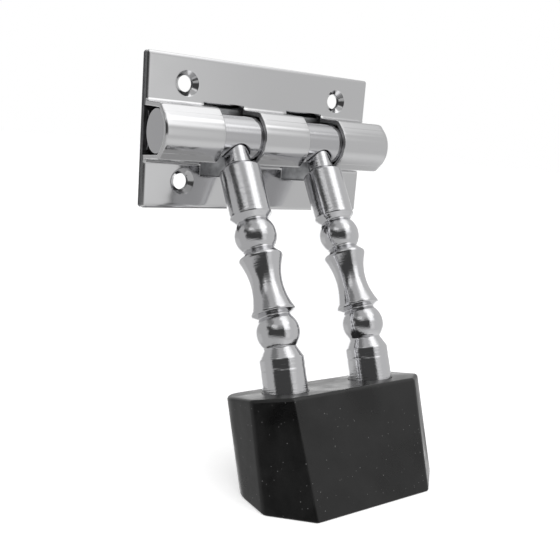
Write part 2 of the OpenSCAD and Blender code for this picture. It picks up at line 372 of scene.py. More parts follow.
# %% The front plate, drawn flat and pressed
block = 5.1
u_stops = np.array([
    slot_x - slot_half - EDGE, slot_x + slot_half + EDGE, hole_x - block, hole_x + block,
    half_plate - corner_r, half_plate - EDGE,
])
u_stops = np.concatenate([-u_stops[::-1], u_stops])
u_counts = (6, 4, 14, 1, 8, 10, 8, 1, 14, 4, 6)
u_blocks = [np.linspace(a, b, n + 1) for a, b, n in zip(u_stops, u_stops[1:], u_counts)]
u_blocks[9] = eased(hole_x + block, half_plate - corner_r, 7)
u_blocks[1] = -u_blocks[9][::-1]
towards_top = eased(hole_z + block, half_height - corner_r, 6)
slot_foot_w = slot_foot - EDGE
below_slots = np.linspace(-hole_z - block, slot_foot_w, 10)
beside_slots = np.linspace(slot_foot_w, block - hole_z, 6)
w_blocks = [
    np.linspace(EDGE - half_height, corner_r - half_height, 7),
    -towards_top[::-1],
    np.concatenate([below_slots, beside_slots[1:]]),
    np.concatenate([[block - hole_z], bend_w[::-1], [hole_z - block]]),
    np.linspace(hole_z - block, hole_z + block, 15),
    towards_top,
    np.linspace(half_height - corner_r, half_height - EDGE, 7),
]


def plate_drawing(with_slots, hole_radius):
    """Every block of the flat plate: rounded at the corners, a round hole in four blocks, and
    the blocks of the two slots left out."""
    drawing = []
    for i, us in enumerate(u_blocks):
        for j, ws in enumerate(w_blocks):
            in_slot = with_slots and abs(abs(us.mean()) - slot_x) < 1
            if i in (0, 10) and j in (0, 6):
                drawing.append(round_corner(us, ws))
            elif i in (2, 8) and j in (2, 4):
                drawing.append(round_hole(us, ws, hole_radius, 5))
            elif in_slot and j == 2:
                drawing.append(grid_patch(us, ws[ws < slot_foot_w + 0.01]))
            elif not (in_slot and j == 3):
                drawing.append(grid_patch(us, ws))
    return drawing


def plate_rims(spots):
    """A countersunk rim round the screw holes, and a plain one everywhere else."""
    from_hole = np.hypot(np.abs(spots[..., 0]) - hole_x, np.abs(spots[..., 1]) - hole_z)
    near = (from_hole < block)[..., None, None]
    return np.where(near, countersunk_rim(sheet_t / 2), plain_rim(sheet_t / 2))


front_patches = sheet_patches(plate_drawing(True, sink_r + EDGE), sheet_t / 2, place_on_plate, plate_rims)
make_piece("front_plate_pressed", front_patches, "bracket", ["front_plate"])


# %% [markdown]
# ## The backing sheet and the leaf springs
#
# The backing sheet is the same outline without bends or slots. It closes the back of the
# slots. A leaf spring is a short strip, bowed so that its middle presses on the bar.

# %% Backing sheet
def place_flat(u, w, h):
    """X is u, Z is w, and the height h goes towards the front."""
    return np.stack([u, -back_t / 2 - h, w], -1)


def plain_rims(half_t):
    """The same plain rim wherever the border is."""
    rim = plain_rim(half_t)
    return lambda spots: np.broadcast_to(rim, (*spots.shape[:-1], *rim.shape))


flat_drawing = plate_drawing(False, hole_r + EDGE)
back_patches = sheet_patches(flat_drawing, back_t / 2, place_flat, plain_rims(back_t / 2))
make_piece("backing_sheet", back_patches, "bracket", ["back_plate"])


# %% Leaf springs
def leaf_patches(low, high):
    """A strip bent about a line along X. The bow's radius follows from its rise over half its
    height: (half height squared + rise squared) / (2 x rise)."""
    leaf_t, half_h = 0.5, (high[2] - low[2]) / 2
    rise = high[1] - low[1] - leaf_t
    radius = (half_h**2 + rise**2) / (2 * rise)
    reach = radius * math.asin(half_h / (radius + leaf_t / 2)) - EDGE / 2

    def place(u, w, h):
        angle = w / radius
        out = radius + h
        return np.stack([u, low[1] + leaf_t / 2 + radius - out * np.cos(angle), out * np.sin(angle)], -1)

    def rims(spots):
        section = plain_rim(leaf_t / 2) * [0.5, 1]
        return np.broadcast_to(section, (*spots.shape[:-1], *section.shape))

    us = np.linspace(low[0] + EDGE / 2, high[0] - EDGE / 2, 13)
    return sheet_patches([grid_patch(us, np.linspace(-reach, reach, 21))], leaf_t / 2, place, rims)


for side in ("left", "right"):
    node = f"{side}_leaf_spring"
    make_piece(f"leaf_spring_{side}", leaf_patches(*box_mm(node)), "bracket", [node])


# %% [markdown]
# ## The spindle
#
# The spindle is a plain bright bar, but each leg goes into a cross hole, and the dark ring at
# that hole's lip is what says that the two are separate pieces. Round each hole the bar's
# surface is a patch from a rectangle to a circle, as on the plate. It is drawn on the flat
# plane that faces the leg and lifted onto the bar.

# %% Spindle with two cross holes
leg_down = np.array([-math.sin(leg_tilt), -math.cos(leg_tilt)])
leg_across = np.array([math.cos(leg_tilt), -math.sin(leg_tilt)])


def at_bar(x, across, out):
    """A point of the bar from its X, its distance across the leg and its distance along it."""
    y = axis_y + out * leg_down[0] + across * leg_across[0]
    return np.stack([x + 0 * y, y, out * leg_down[1] + across * leg_across[1]], -1)


def bar_patches():
    """The bar's round surface in blocks, with the blocks at the legs drawn as round holes. In
    a hole, the rows go over a soft lip, down the wall and to the middle of the bottom. At each
    end they go over a soft edge to the middle of the face."""
    end_soft, hole_floor, block_x = 0.5, 3.0, 5.6
    block_a = math.asin(block_x / bar_r)
    x_stops = [end_soft - bar_half, -leg_x - block_x, block_x - leg_x]
    x_stops += [-x for x in reversed(x_stops)]
    x_blocks = [np.linspace(a, b, 17) for a, b in zip(x_stops, x_stops[1:])]
    a_stops = [-math.pi, -block_a, block_a, math.pi]
    a_blocks = [np.linspace(a, b, n + 1) for a, b, n in zip(a_stops, a_stops[1:], (34, 20, 34))]
    lip = np.array([5.15, 5.01, 4.89, 4.8, 4.74, 4.7, 4.7, 4.7, 0])[:, None]
    drop = np.array([0, 0.02, 0.07, 0.16, 0.3, 0.5])[:, None]
    patches = []
    for i, xs in enumerate(x_blocks):
        for j, turn in enumerate(a_blocks):
            if i in (1, 3) and j == 1:
                hole = round_hole(xs, bar_r * np.sin(turn), lip[0, 0], 6)
                patches.append(at_bar(hole[..., 0], hole[..., 1], np.sqrt(bar_r**2 - hole[..., 1] ** 2)))
                direction = (hole[0] - [xs.mean(), 0]) / lip[0, 0]
                x, across = xs.mean() + lip * direction[:, 0], lip * direction[:, 1]
                out = np.sqrt(bar_r**2 - across**2)
                out = np.concatenate([out[:6] - drop, np.full((3, len(direction)), hole_floor)])
                patches.append(at_bar(x, across, out))
            else:
                x, a = np.meshgrid(xs, turn, indexing="ij")
                patches.append(at_bar(x, bar_r * np.sin(a), bar_r * np.cos(a)))
    turn = np.concatenate([a[:-1] for a in a_blocks] + [[math.pi]])[None]
    quarter = np.linspace(0, math.pi / 2, 6)
    radius = np.concatenate([bar_r - end_soft * (1 - np.cos(quarter)), [bar_r / 2, 0]])[:, None]
    along = np.concatenate([bar_half - end_soft * (1 - np.sin(quarter)), [bar_half, bar_half]])[:, None]
    for side in (-1, 1):
        patches.append(at_bar(side * along + 0 * turn, radius * np.sin(turn), radius * np.cos(turn)))
    return patches


make_piece("spindle_bar", bar_patches(), "swinging_stay", ["spindle"])


# %% [markdown]
# ## The legs
#
# A leg is turned on a lathe: one outline, spun about the leg's line. Then the foot is bent
# back a little at the second bead, so the line is not quite straight. The outline is first
# drawn sharp: collar, bead, waist, bead, foot. Then it is sampled finely and softened by
# averaging along its length, as polishing does to every edge and groove of a real one.


# %% Line and rings of a leg
TURNS = 80


def leg_line(station):
    """Y, Z and tilt of a leg's line. It runs down at one angle to the second bead and at
    another below it, and the rings turn from one angle to the other within the bead."""
    upper, lower = np.minimum(station, bead_2), np.maximum(station - bead_2, 0)
    y = axis_y - upper * math.sin(leg_tilt) - lower * math.sin(foot_tilt)
    z = -upper * math.cos(leg_tilt) - lower * math.cos(foot_tilt)
    share = np.clip((station - bead_2 + 1) / 2, 0, 1)
    share = share * share * (3 - 2 * share)
    return y, z, leg_tilt + (foot_tilt - leg_tilt) * share


def turned(x, station, radius):
    """Rings about a leg's line: each point is the line's point plus radius times a unit
    vector across the line. Radius is one number per ring or one per point. The fourth column
    is the station, so that a finish can follow the turning."""
    y, z, tilt = (v[:, None] for v in leg_line(station))
    angle = np.linspace(0, 2 * math.pi, TURNS + 1)[None]
    radius = radius if radius.ndim == 2 else radius[:, None] + 0 * angle
    across = radius * np.sin(angle)
    return np.stack([
        x + radius * np.cos(angle),
        y + across * np.cos(tilt),
        z - across * np.sin(tilt),
        station[:, None] + 0 * angle,
    ], -1)


# %% Outline of a leg
def leg_outline():
    """Radius and station down the leg. A bead is a circle, the waist is a parabola between two
    rims, and everything else is straight."""
    reach = math.sqrt(bead_r**2 - neck_r**2)
    swing = np.linspace(-1, 1, 61)
    half_angle = math.asin(reach / bead_r)
    bead = np.stack([bead_r * np.cos(swing * half_angle), bead_r * np.sin(swing * half_angle)], -1)
    waist_at, waist_half = 52.75, 8.65
    waist = np.stack([neck_r + (rim_r - neck_r) * swing**2, waist_at + waist_half * swing], -1)
    neck = reach + 0.35
    spigot = [[0, 3.3], [spigot_r, 3.3], [spigot_r, 11.0]]
    collar = [[collar_r, 12.6], [collar_r, 28.3], [collar_r + 0.12, 29.3], [neck_r + 0.2, bead_1 - neck]]
    above_waist = [[neck_r, bead_1 + neck], [rim_r, 43.4]]
    below_waist = [[rim_r, 62.1], [neck_r, bead_2 - neck]]
    foot_radii = [neck_r + 0.2, foot_r, foot_r, foot_r - 0.14, foot_r, foot_r, 0]
    foot_stations = bead_2 + np.array([neck, 8.0, 10.9, 11.2, 11.5, foot_end, foot_end])
    foot = np.stack([foot_radii, foot_stations], -1)
    top = [spigot, collar, bead + [0, bead_1], above_waist]
    return np.concatenate([*top, waist, below_waist, bead + [0, bead_2], foot])


def softened(outline, spacing, softness):
    """The outline at even steps of its own length, then averaged with a bell curve whose
    width is the softness. Both ends stay where they are."""
    length = np.concatenate([[0], np.cumsum(np.linalg.norm(np.diff(outline, axis=0), axis=1))])
    even = np.arange(0, length[-1] + spacing, spacing)
    fine = np.stack([np.interp(even, length, outline[:, i]) for i in (0, 1)], -1)
    reach = int(3 * softness / spacing) + 1
    bell = np.exp(-0.5 * (np.arange(-reach, reach + 1) * spacing / softness) ** 2)
    bell /= bell.sum()
    padded = np.concatenate([np.repeat(fine[:1], reach, 0), fine, np.repeat(fine[-1:], reach, 0)])
    soft = np.stack([np.convolve(padded[:, i], bell, "valid") for i in (0, 1)], -1)
    soft[0], soft[-1] = fine[0], fine[-1]
    return soft


outline = softened(leg_outline(), spacing=0.22, softness=0.16)
for side, x in (("left", -leg_x), ("right", leg_x)):
    make_piece(
        f"turned_leg_{side}", [turned(x, outline[:, 1], outline[:, 0])],
        "swinging_stay", [f"{side}_leg"], extra=["station"],
    )


# %% [markdown]
# ## The rubber shoe
#
# The shoe is one moulding. Seen along its own height it is a rectangle with two cut front
# corners and two round back corners. It leans with the legs, its sole is level, and its top
# slopes a little less than it leans. Its outline is computed once for the top and once for
# the sole, where the cut corners are wider, and the sides are straight lines from one to the
# other. Each half of the top and of the sole is a patch between a hole and the outline.

# %% The shoe's own directions
rake, top_tilt = math.radians(22.8), math.radians(14.8)
top_y, top_z, _ = leg_line(np.array(bead_2 + shoe_at))
shoe_front, shoe_back = -13.7, 13.8
front_bend, back_bend, ledge_t = 2.2, 8.3, 4


def at_shoe(x, n, v):
    """A point of the shoe from its X, its distance n from front to back, and its height v
    along the shoe's lean, measured from the middle of the top."""
    y = top_y + n * math.cos(rake) + v * math.sin(rake)
    return np.stack([x + 0 * y, y, top_z - n * math.sin(rake) + v * math.cos(rake)], -1)


def top_v(n):
    """Height of the sloping top at n."""
    return n * math.tan(rake - top_tilt)


def sole_v(n):
    """Height of the level sole at n."""
    return (sole_z - top_z + n * math.sin(rake)) / math.cos(rake)


# %% Outlines of the shoe
def half_outline(cut_x, cut_n):
    """Right half of the outline from the middle of the front to the middle of the back, with
    points shared out evenly along each straight stretch and each rounded corner."""
    corners = [
        (0, shoe_front), (shoe_side - cut_x, shoe_front), (shoe_side, shoe_front + cut_n),
        (shoe_side, shoe_back), (0, shoe_back),
    ]
    rounded = rounded_path(corners, [front_bend, front_bend, back_bend], 9)
    stretches = [rounded[0:2], rounded[10:12], rounded[20:22], rounded[30:32]]
    parts = []
    for k, (a, b) in enumerate(stretches):
        count = (22, 12, 14, 24)[k]
        parts.append(a + (b - a) * np.linspace(0, 1, count, endpoint=False)[:, None])
        if k < 3:
            parts.append(rounded[10 * k + 1 : 10 * k + 10])
    return np.concatenate(parts + [rounded[-1:]])


def inward(path):
    """Unit vectors to the inside of the outline. On the middle line they point along it."""
    step = np.gradient(path, axis=0)
    step[0], step[-1] = [1, 0], [-1, 0]
    step /= np.linalg.norm(step, axis=1, keepdims=True)
    return np.stack([-step[:, 1], step[:, 0]], -1)


top_half, sole_half = half_outline(cut_x=9.5, cut_n=8.0), half_outline(cut_x=11.6, cut_n=9.8)
top_in, sole_in = inward(top_half), inward(sole_half)
print(f"outline of half the shoe: {len(top_half)} points")


# %% Faces, soft edges and holes of the shoe
def half_face(border, hole_n, hole_r, rows):
    """Half of the top or the sole: rows that blend from a circle round the hole to the border,
    which is the outline's half closed along the middle line."""
    middle = np.stack([np.zeros(15), np.linspace(border[-1, 1], border[0, 1], 16)[1:]], -1)
    loop = np.concatenate([border, middle])
    away = loop - [leg_x, hole_n]
    circle = [leg_x, hole_n] + hole_r * away / np.linalg.norm(away, axis=1, keepdims=True)
    share = np.linspace(0, 1, rows + 1)[:, None, None] ** 1.3
    return (1 - share) * circle + share * loop


def shoe_half():
    """The right half of the shoe as patches of (x, n, v). The soft edges are quarter circles
    laid inwards and downwards from the outlines. In a leg's hole the rows go over a lip, down
    to the ledge that the leg stands on, through it, and out through the screw's pocket."""
    quarter = np.linspace(0, math.pi / 2, 7)[:, None, None]
    slide = math.tan(rake - foot_tilt)
    top_soft, sole_soft, lip_r = 1.1, 0.7, 0.75
    screw_hole_r, pocket_r, pocket_rim_r = 2.75, 6.5, 7.0

    def soft_edge(outline, inner, soft, height, sign):
        spots = outline + inner * soft * (1 - np.sin(quarter))
        return np.concatenate([spots, height(spots[..., 1:]) + sign * soft * (1 - np.cos(quarter))], -1)

    def ring(radius, n, turn, height):
        spots = [leg_x, n] + radius * turn
        return np.concatenate([spots, height(spots[:, 1:])], -1)[None]

    top_edge = soft_edge(top_half, top_in, top_soft, top_v, -1)
    sole_edge = soft_edge(sole_half, sole_in, sole_soft, sole_v, 1)
    share = np.linspace(0, 1, 23)[:, None, None]
    side = (1 - share) * top_edge[-1] + share * sole_edge[-1]
    ledge_v, pocket_v = shoe_at - foot_end, shoe_at - foot_end - ledge_t
    pocket_n = -slide * sole_v(0)
    top = half_face(top_edge[0, :, :2], 0, foot_r + lip_r, 8)
    sole = half_face(sole_edge[0, :, :2], pocket_n, pocket_rim_r, 8)
    top_turn = (top[0] - [leg_x, 0]) / (foot_r + lip_r)
    sole_turn = (sole[0] - [leg_x, pocket_n]) / pocket_rim_r
    lip = ((lip_r, 0), (0.5, 0.05), (0.3, 0.16), (0.16, 0.36), (0.08, 0.7), (0.05, 1.2))
    hole = [ring(foot_r + out, 0, top_turn, lambda n, d=drop: top_v(n) - d) for out, drop in lip]
    hole.append(ring(foot_r + lip[-1][0], -slide * ledge_v, top_turn, lambda n: ledge_v + 0 * n))
    hole.append(ring(screw_hole_r, -slide * ledge_v, top_turn, lambda n: ledge_v + 0 * n))
    hole.append(ring(screw_hole_r, -slide * pocket_v, sole_turn, lambda n: pocket_v + 0 * n))
    hole.append(ring(pocket_r, -slide * pocket_v, sole_turn, lambda n: pocket_v + 0 * n))
    rim = ((pocket_r, 0.7), (6.54, 0.4), (6.66, 0.14), (pocket_rim_r, 0))
    hole += [ring(r, pocket_n, sole_turn, lambda n, lift=lift: sole_v(n) + lift) for r, lift in rim]
    faces = [np.concatenate([f, height(f[..., 1:])], -1) for f, height in ((top, top_v), (sole, sole_v))]
    return [top_edge, side, sole_edge, np.concatenate(hole)] + faces


shoe = []
for side in (-1, 1):
    shoe += [at_shoe(side * x, n, v) for x, n, v in (np.moveaxis(p, -1, 0) for p in shoe_half())]
make_piece("moulded_shoe", shoe, "swinging_stay", ["rubber_shoe"])


# %% [markdown]
# ## Screws and washers under the sole
#
# They are only seen from below, deep in their pockets, but they are what holds the shoe on.
# Both are turned parts on the foot's line. The screw's socket is the same surface with its
# rings drawn in to a hexagon: the distance to a hexagon's side in the direction of each point.

# %% Socket screws and flat washers
washer_t = 1.2


def hexagon(across_flats):
    """Distance from the middle of a hexagon to its side, for each direction of a ring."""
    angle = np.linspace(0, 2 * math.pi, TURNS + 1)
    return across_flats / 2 / np.cos((angle + math.pi / 6) % (math.pi / 3) - math.pi / 6)


def screw_rings():
    """Station and radius of each ring of a socket screw, from the tip of its shank over its
    head and into the socket."""
    even = np.ones(TURNS + 1)
    head = bead_2 + foot_end + ledge_t + washer_t
    shank = [(-16.2, 0), (-16.2, 2.2), (-15.9, 2.5), (-0.02, 2.5), (0, 2.6)]
    cap = [(0, 4.3), (0.2, 4.5), (2.55, 4.5), (2.8, 4.42), (2.94, 4.25), (3, 4.0)]
    socket = [(3, 3.2), (2.85, 3.0), (1.2, 3.0), (1.2, 0)]
    radii = [r * even for _, r in shank + cap] + [hexagon(flats) for _, flats in socket]
    stations = [head + s for s, _ in shank + cap + socket]
    return np.array(stations), np.array(radii)


def washer_rings():
    """Station and radius round a washer's section, back to where it starts."""
    top, bore, outer = bead_2 + foot_end + ledge_t, 2.75, 6
    start = (bore, washer_t / 2)
    corners = [start, (bore, washer_t), (outer, washer_t), (outer, 0), (bore, 0), start]
    section = rounded_path(corners, [0.1, 0.25, 0.1, 0.1], 3)
    return top + section[:, 1], section[:, 0]


fasteners = (
    ("socket_screws", screw_rings(), "shoe_screws"),
    ("flat_washers", washer_rings(), "shoe_washers"),
)
for name, rings, node in fasteners:
    pair = [turned(x, *rings)[..., :3] for x in (-leg_x, leg_x)]
    make_piece(name, pair, "swinging_stay", [node])


# %% [markdown]
# ## Finishes
#
# A colour is written as it looks on a screen and turned into the linear light that the
# renderer counts in. One small function adds a node, sets it up and links it. A metal's
# colour is the colour of its reflection, and what tells plated sheet, turned bar and dull
# zinc apart is how rough each is and which way its finest lines run.


# %% Helpers for materials
def linear(code):
    """Linear colour of an sRGB hex code: each channel c becomes ((c + 0.055) / 1.055) to the
    power 2.4, or c / 12.92 where it is very dark."""
    c = np.array([int(code[i : i + 2], 16) for i in (1, 3, 5)]) / 255
    return (*np.where(c <= 0.04045, c / 12.92, ((c + 0.055) / 1.055) ** 2.4).tolist(), 1)


def add(tree, kind, inputs=None, **settings):
    """A node with its settings. An input is a value, or the output of another node."""
    made = tree.nodes.new(kind)
    for key, value in settings.items():
        setattr(made, key, value)
    for key, value in (inputs or {}).items():
        if isinstance(value, bpy.types.NodeSocket):
            tree.links.new(value, made.inputs[key])
        else:
            made.inputs[key].default_value = value
    return made


def new_material(name):
    """An empty material, and its tree with the shader and the output in place."""
    material = bpy.data.materials.new(name)
    material.use_nodes = True
    tree = material.node_tree
    tree.nodes.clear()
    shader = add(tree, "ShaderNodeBsdfPrincipled")
    add(tree, "ShaderNodeOutputMaterial", {"Surface": shader.outputs[0]})
    return material, tree, shader


def set_inputs(tree, shader, inputs):
    """Sets or links several inputs of a shader."""
    for key, value in inputs.items():
        if isinstance(value, bpy.types.NodeSocket):
            tree.links.new(value, shader.inputs[key])
        else:
            shader.inputs[key].default_value = value


def per_mm(size):
    """Scale of a pattern whose features are size millimetres across."""
    return 1 / (size * MM)


# %% Where a sheet was cut and not polished, and where gap shade is painted
def cut_faces(tree, where):
    """Two masks. The first is 1 on every face that was sheared across, where the size of the
    normal's X is over 0.8 to 0.95. The second keeps only the ends of the flat sheets, where Y
    is also behind the front face. The second darkens their colour: partly the cut steel's own
    duller tone, partly painted shade of the gap between the sheets."""
    normal = add(tree, "ShaderNodeNewGeometry").outputs["Normal"]
    normal_x = add(tree, "ShaderNodeSeparateXYZ", {0: normal}).outputs[0]
    across = add(tree, "ShaderNodeMath", {0: normal_x}, operation="ABSOLUTE")
    ends = add(tree, "ShaderNodeMapRange", {"Value": across.outputs[0], "From Min": 0.8, "From Max": 0.95})
    depth = add(tree, "ShaderNodeSeparateXYZ", {0: where}).outputs[1]
    flat = add(tree, "ShaderNodeMath", {0: depth, 1: (front_y - 0.1) * MM}, operation="GREATER_THAN")
    both = add(tree, "ShaderNodeMath", {0: ends.outputs[0], 1: flat.outputs[0]}, operation="MULTIPLY")
    return ends.outputs[0], both.outputs[0]


# %% Bright nickel on pressed sheet
def bright_nickel():
    """Pressed steel sheet, buffed and nickel-plated. Buffing leaves hair lines along the sheet
    and a slow unevenness, so reflections are clear but soft. Its sheared ends stay dull, and
    on the flat sheet they are darker, partly as painted shade of the gap behind them."""
    material, tree, shader = new_material("bright nickel on pressed steel")
    where = add(tree, "ShaderNodeTexCoord").outputs["Object"]
    drawn = add(tree, "ShaderNodeMapping", {"Vector": where, "Scale": (0.02, 1, 1)}).outputs[0]
    hair = add(tree, "ShaderNodeTexNoise", {"Vector": drawn, "Scale": per_mm(0.4), "Detail": 4.0})
    cloud = add(tree, "ShaderNodeTexNoise", {"Vector": where, "Scale": per_mm(9), "Detail": 2.0})
    spread = {"Value": cloud.outputs[0], "From Min": 0.3, "From Max": 0.7, "To Min": 0.09, "To Max": 0.17}
    polish = add(tree, "ShaderNodeMapRange", spread).outputs[0]
    sheared, cut_tone_and_gap_shade = cut_faces(tree, where)
    rough = add(tree, "ShaderNodeMix", {"Factor": sheared, "A": polish, "B": 0.42}, data_type="FLOAT")
    # painted shade: the flat sheet's cut ends are mixed to a darker grey, partly the cut steel's own dull
    # tone and partly the gap's shade
    tones = {"Factor": cut_tone_and_gap_shade, "A": linear("#d9d9da"), "B": linear("#6a6a6c")}
    tone = add(tree, "ShaderNodeMix", tones, data_type="RGBA")
    relief = add(tree, "ShaderNodeBump", {"Height": hair.outputs[0], "Strength": 0.3, "Distance": 0.02 * MM})
    set_inputs(tree, shader, {
        "Base Color": tone.outputs["Result"], "Metallic": 1.0, "Roughness": rough.outputs[0],
        "Normal": relief.outputs[0],
    })
    return material


# %% Polished chrome on turned bar
def polished_chrome(turned_part):
    """Turned steel, polished and chrome-plated. The lathe leaves rings too fine to count, which
    pull each reflection out along the part, and polishing leaves shallow pits. Both are drawn
    coarser than real, to show. The spindle is plain bright bar with finer marks, and its darker
    colour is a painted dark reflection of a surround that the room doesn't hold."""
    kind = "turned steel" if turned_part else "bright bar"
    material, tree, shader = new_material(f"polished chrome on {kind}")
    where = add(tree, "ShaderNodeTexCoord").outputs["Object"]
    if turned_part:
        low, high, pit_size, pit_depth = 0.05, 0.1, 0.75, 0.06
        station = add(tree, "ShaderNodeAttribute", attribute_name="station").outputs["Fac"]
        marks = {"W": station, "Scale": 1.7, "Detail": 5.0, "Roughness": 0.65}
        rings = add(tree, "ShaderNodeTexNoise", marks, noise_dimensions="1D")
    else:
        low, high, pit_size, pit_depth = 0.06, 0.13, 0.35, 0.025
        drawn = add(tree, "ShaderNodeMapping", {"Vector": where, "Scale": (1, 0.03, 0.03)}).outputs[0]
        rings = add(tree, "ShaderNodeTexNoise", {"Vector": drawn, "Scale": per_mm(0.3), "Detail": 4.0})
    cloud = add(tree, "ShaderNodeTexNoise", {"Vector": where, "Scale": per_mm(5), "Detail": 3.0})
    spread = {"Value": cloud.outputs[0], "From Min": 0.3, "From Max": 0.7, "To Min": low, "To Max": high}
    rough = add(tree, "ShaderNodeMapRange", spread)
    pits = add(tree, "ShaderNodeTexNoise", {"Vector": where, "Scale": per_mm(pit_size), "Detail": 2.0})
    both = {0: pits.outputs[0], 1: 0.8, 2: rings.outputs[0]}
    height = add(tree, "ShaderNodeMath", both, operation="MULTIPLY_ADD")
    bump = {"Height": height.outputs[0], "Strength": 0.6, "Distance": pit_depth * MM}
    relief = add(tree, "ShaderNodeBump", bump)
    # painted dark reflection: the bar's colour is set darker than the legs' to stand in for a dark surround
    # that the room doesn't hold
    colour = linear("#dadadc" if turned_part else "#c8c8ca")
    set_inputs(tree, shader, {
        "Base Color": colour, "Metallic": 1.0, "Roughness": rough.outputs[0], "Normal": relief.outputs[0],
    })
    return material


# %% Dull zinc on plain sheet
def dull_zinc(name):
    """Zinc-plated steel that nobody polished: grey, a little cloudy, with a fine grain. The flat
    sheet's cut ends are darker, partly their own dull tone, partly painted gap shade.
    """
    material, tree, shader = new_material(name)
    where = add(tree, "ShaderNodeTexCoord").outputs["Object"]
    flakes = add(tree, "ShaderNodeTexVoronoi", {"Vector": where, "Scale": per_mm(2.2)})
    cloud = add(tree, "ShaderNodeTexNoise", {"Vector": where, "Scale": per_mm(3), "Detail": 4.0})
    tone = add(tree, "ShaderNodeValToRGB", {"Fac": cloud.outputs[0]})
    for stop, position, code in zip(tone.color_ramp.elements, (0.3, 0.7), ("#8e8f91", "#bcbdbf")):
        stop.color, stop.position = linear(code), position
    _, cut_tone_and_gap_shade = cut_faces(tree, where)
    # painted shade: the flat sheet's cut ends are mixed to a darker grey, partly the cut steel's own dull
    # tone and partly the gap's shade
    tones = {"Factor": cut_tone_and_gap_shade, "A": tone.outputs[0], "B": linear("#505052")}
    colour = add(tree, "ShaderNodeMix", tones, data_type="RGBA")
    rough = add(tree, "ShaderNodeMapRange", {"Value": flakes.outputs["Color"], "To Min": 0.3, "To Max": 0.42})
    grain = add(tree, "ShaderNodeTexNoise", {"Vector": where, "Scale": per_mm(0.2)})
    relief = add(tree, "ShaderNodeBump", {"Height": grain.outputs[0], "Strength": 0.2, "Distance": 0.02 * MM})
    set_inputs(tree, shader, {
        "Base Color": colour.outputs["Result"], "Metallic": 1.0, "Roughness": rough.outputs[0],
        "Normal": relief.outputs[0],
    })
    return material


# %% Black moulded rubber
def black_rubber():
    """Moulded black rubber with a satin skin. Dust and moulding powder sit on it as pale specks,
    and handling leaves slow smears that change its gloss more than its colour."""
    material, tree, shader = new_material("black moulded rubber")
    where = add(tree, "ShaderNodeTexCoord").outputs["Object"]
    wiped = {"Vector": where, "Scale": per_mm(18), "Detail": 5.0, "Roughness": 0.55, "Distortion": 0.6}
    smear = add(tree, "ShaderNodeTexNoise", wiped)
    tone = add(tree, "ShaderNodeValToRGB", {"Fac": smear.outputs[0]})
    for stop, position, code in zip(tone.color_ramp.elements, (0.34, 0.66), ("#040404", "#181818")):
        stop.color, stop.position = linear(code), position
    specks = add(tree, "ShaderNodeTexVoronoi", {"Vector": where, "Scale": per_mm(1.7), "Randomness": 1.0})
    sizes = {"Value": specks.outputs["Color"], "To Min": 0.04, "To Max": 0.105}
    grit = add(tree, "ShaderNodeMapRange", sizes)
    close = {0: specks.outputs["Distance"], 1: grit.outputs[0]}
    small = add(tree, "ShaderNodeMath", close, operation="LESS_THAN")
    dust = add(tree, "ShaderNodeMath", {0: small.outputs[0], 1: 0.45}, operation="MULTIPLY")
    tones = {"Factor": dust.outputs[0], "A": tone.outputs[0], "B": linear("#9a9a9a")}
    colour = add(tree, "ShaderNodeMix", tones, data_type="RGBA")
    spread = {"Value": smear.outputs[0], "From Min": 0.3, "From Max": 0.7, "To Min": 0.2, "To Max": 0.48}
    rough = add(tree, "ShaderNodeMapRange", spread)
    sag = add(tree, "ShaderNodeTexNoise", {"Vector": where, "Scale": per_mm(7), "Detail": 2.0})
    uneven = add(tree, "ShaderNodeBump", {"Height": sag.outputs[0], "Strength": 0.5, "Distance": 0.3 * MM})
    grain = add(tree, "ShaderNodeTexNoise", {"Vector": where, "Scale": per_mm(0.5), "Detail": 3.0})
    relief = add(tree, "ShaderNodeBump", {
        "Height": grain.outputs[0], "Strength": 0.3, "Distance": 0.05 * MM, "Normal": uneven.outputs[0],
    })
    set_inputs(tree, shader, {
        "Base Color": colour.outputs["Result"], "Roughness": rough.outputs[0], "IOR": 1.52,
        "Normal": relief.outputs[0],
    })
    return material


# %% Every piece gets its finish
finishes = {
    "front_plate_pressed": bright_nickel(),
    "backing_sheet": dull_zinc("dull zinc on steel sheet"),
    "leaf_spring": dull_zinc("tempered spring steel"),
    "spindle_bar": polished_chrome(False),
    "turned_leg": polished_chrome(True),
    "moulded_shoe": black_rubber(),
    "socket_screws": dull_zinc("zinc-plated fasteners"),
}
finishes["flat_washers"] = finishes["socket_screws"]
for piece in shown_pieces():
    start = next(key for key in finishes if piece.name.startswith(key))
    piece.data.materials.clear()
    piece.data.materials.append(finishes[start])
    print(f"{piece.name}: {finishes[start].name}")


# %% [markdown]
# ## Studio
#
# Bright metal shows the room and not itself, so the room is designed direction by direction.
# It is a pale grey room: a little brighter on the right, lamps high in front, white walls
# behind the piece, and dark places on the left, of which the largest is where the camera and
# its stand are. That dark place is what draws the black streaks down the turned legs. All of
# it is in the world, as soft-edged windows in azimuth and elevation, because then it looks
# the same wherever on the object it is reflected. The piece stands on white paper that is lit
# from below, as on a product table, and glossy rays pass through the paper to the room.

# %% Paper floor
def card(name, corners, material):
    """A flat four-cornered board that isn't part of the object."""
    mesh = bpy.data.meshes.new(name)
    mesh.from_pydata([tuple(np.array(c) * MM) for c in corners], [], [(0, 1, 2, 3)])
    board = bpy.data.objects.new(name, mesh)
    bpy.context.scene.collection.objects.link(board)
    mesh.materials.append(material)
    return board


paper, tree, shader = new_material("white studio paper, lit from below")
set_inputs(tree, shader, {"Base Color": linear("#f2f2f2"), "Roughness": 1.0, "Specular IOR Level": 0.0})
set_inputs(tree, shader, {"Emission Color": (1, 1, 1, 1), "Emission Strength": 0.5})
reach = 6000
corners = [(-reach, -reach, sole_z), (reach, -reach, sole_z), (reach, reach, sole_z), (-reach, reach, sole_z)]
floor = card("studio_floor", corners, paper)
floor.visible_glossy = False

